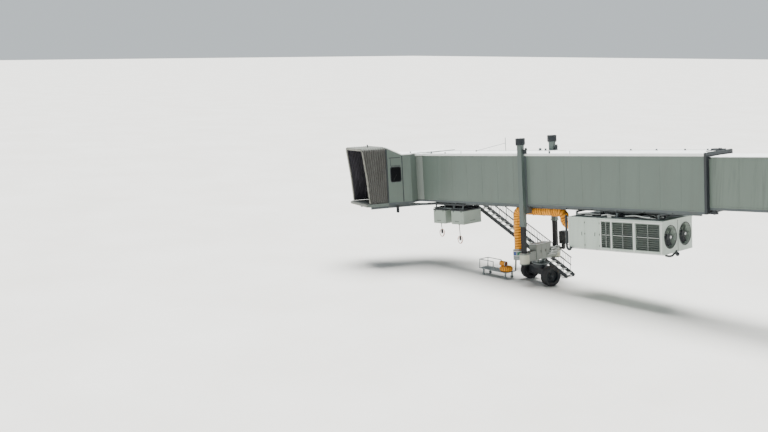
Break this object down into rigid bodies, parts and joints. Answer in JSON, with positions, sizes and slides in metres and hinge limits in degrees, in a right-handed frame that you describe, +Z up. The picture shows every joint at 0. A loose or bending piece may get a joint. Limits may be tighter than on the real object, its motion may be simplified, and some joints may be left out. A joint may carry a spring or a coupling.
{
  "type": "passenger boarding bridge",
  "caption": "Apron-drive jet bridge: rotunda on a column, two telescoping tunnels, lift frame on a steered bogie, turning cab with canopy, stair, air unit and hose.",
  "frame": {"origin": "on the ground, at the axis of the rotunda's column, in the underside of its base plate", "axes": "+Z up, +X along the corridor to the terminal, the tunnels run to -X"},
  "size_m": [34.9551, 7.9706, 9.19],
  "materials": {
    "wall_paint": "satin, weathered",
    "pale_paint": "satin",
    "roof_paint": "matt",
    "dark_paint": "matt",
    "steel_paint": "satin",
    "navy_paint": "satin",
    "rubber_seal": "matt",
    "tyre_rubber": "matt",
    "hose_fabric": "coated cloth",
    "canopy_fabric": "coated cloth"
  },
  "bodies": {
    "base": {"base_plate": "steel_paint", "pedestal": "wall_paint", "rotunda_floor": "steel_paint", "rotunda_roof": "roof_paint", "rotunda_wall_near": "wall_paint", "rotunda_wall_far": "wall_paint"},
    "swing": {"swing_yoke": "steel_paint", "swing_portal": "wall_paint", "slat_curtain_near": "pale_paint", "slat_curtain_far": "pale_paint"},
    "inner_tunnel": {"inner_floor": "dark_paint", "inner_roof": "roof_paint", "inner_wall_near": "wall_paint", "inner_wall_far": "wall_paint"},
    "outer_tunnel": {"outer_floor": "dark_paint", "outer_roof": "roof_paint", "outer_wall_near": "wall_paint", "outer_wall_far": "wall_paint", "service_door": "pale_paint", "mouth_frame": "rubber_seal", "roof_fittings": "steel_paint", "lift_columns": "wall_paint", "column_drums": "navy_paint", "column_saddle": "dark_paint", "stair_landing": "steel_paint", "drum_floor": "dark_paint", "drum_roof": "roof_paint", "drum_shell": "wall_paint", "air_unit": "pale_paint", "air_grilles": "steel_paint", "air_hanger": "dark_paint", "air_hose": "hose_fabric", "hoist_boxes": "pale_paint", "hoist_frame": "dark_paint", "hoist_plugs": "rubber_seal", "hoist_cable_front": "rubber_seal", "hoist_cable_rear": "rubber_seal"},
    "cab": {"cab_floor": "dark_paint", "cab_roof": "roof_paint", "cab_wall_near": "wall_paint", "cab_wall_far": "wall_paint", "cab_curtains": "pale_paint", "canopy_near": "canopy_fabric", "canopy_far": "canopy_fabric", "canopy_top": "canopy_fabric"},
    "legs": {"lift_legs": "navy_paint", "bolster": "steel_paint", "motor_box": "navy_paint", "hose_basket": "steel_paint"},
    "head": {"trunnion": "steel_paint", "hose_trolley": "steel_paint", "hose_coupler": "hose_fabric"},
    "bogie": {"bogie_frame": "dark_paint"},
    "left_wheel": {"wheel_near": "tyre_rubber"},
    "right_wheel": {"wheel_far": "tyre_rubber"},
    "near_fan": {"fan_near": "dark_paint"},
    "far_fan": {"fan_far": "dark_paint"},
    "stair": {"stair_flight": "steel_paint", "stair_treads": "pale_paint"}
  },
  "joints": [
    {"name": "rotunda_swing", "type": "hinge", "parent": "base", "child": "swing", "pos_m": [0, 0, 5.56], "axis": [0, 0, 1], "range_deg": [-30, 30]},
    {"name": "tunnel_pitch", "type": "hinge", "parent": "swing", "child": "inner_tunnel", "pos_m": [-2.3, 0, 6.07], "axis": [0, 1, 0], "range_deg": [-1.2, 6]},
    {"name": "telescope", "type": "slide", "parent": "inner_tunnel", "child": "outer_tunnel", "axis": [-0.9971, 0, -0.0767], "range_m": [-1.6, 10.5]},
    {"name": "cab_turn", "type": "hinge", "parent": "outer_tunnel", "child": "cab", "pos_m": [-27.42573, 0, 4.13668], "axis": [-0.0767, 0, 0.9971], "range_deg": [-65, 10]},
    {"name": "column_lift", "type": "slide", "parent": "outer_tunnel", "child": "legs", "axis": [0.0767, 0, -0.9971], "range_m": [-0.34, 1.69]},
    {"name": "head_tilt", "type": "hinge", "parent": "legs", "child": "head", "pos_m": [-18.231, 0, 1.3], "axis": [0, 1, 0], "range_deg": [-6.02, 1.22]},
    {"name": "bogie_steer", "type": "hinge", "parent": "head", "child": "bogie", "pos_m": [-18.231, 0, 1.17], "axis": [0, 0, 1], "range_deg": [-70, 110]},
    {"name": "left_wheel_roll", "type": "hinge", "parent": "bogie", "child": "left_wheel", "pos_m": [-17.19734, -0.37622, 0.6], "axis": [0.9397, -0.342, 0], "continuous": true},
    {"name": "right_wheel_roll", "type": "hinge", "parent": "bogie", "child": "right_wheel", "pos_m": [-19.26467, 0.37622, 0.6], "axis": [0.9397, -0.342, 0], "continuous": true},
    {"name": "near_fan_spin", "type": "hinge", "parent": "outer_tunnel", "child": "near_fan", "pos_m": [-9.62485, -0.75, 4.02702], "axis": [0.9971, 0, 0.0767], "continuous": true},
    {"name": "far_fan_spin", "type": "hinge", "parent": "outer_tunnel", "child": "far_fan", "pos_m": [-9.62485, 0.75, 4.02702], "axis": [0.9971, 0, 0.0767], "continuous": true},
    {"name": "stair_hinge", "type": "hinge", "parent": "outer_tunnel", "child": "stair", "pos_m": [-26.02257, 2.3, 4.14937], "axis": [0, 1, 0], "range_deg": [-2.29, 11.24]}
  ],
  "couplings": [
    {"joint": "column_lift", "follows": "tunnel_pitch", "m_per_rad": 15.978},
    {"joint": "head_tilt", "follows": "tunnel_pitch", "ratio": -1},
    {"joint": "stair_hinge", "follows": "tunnel_pitch", "ratio": 1.8644}
  ]
}
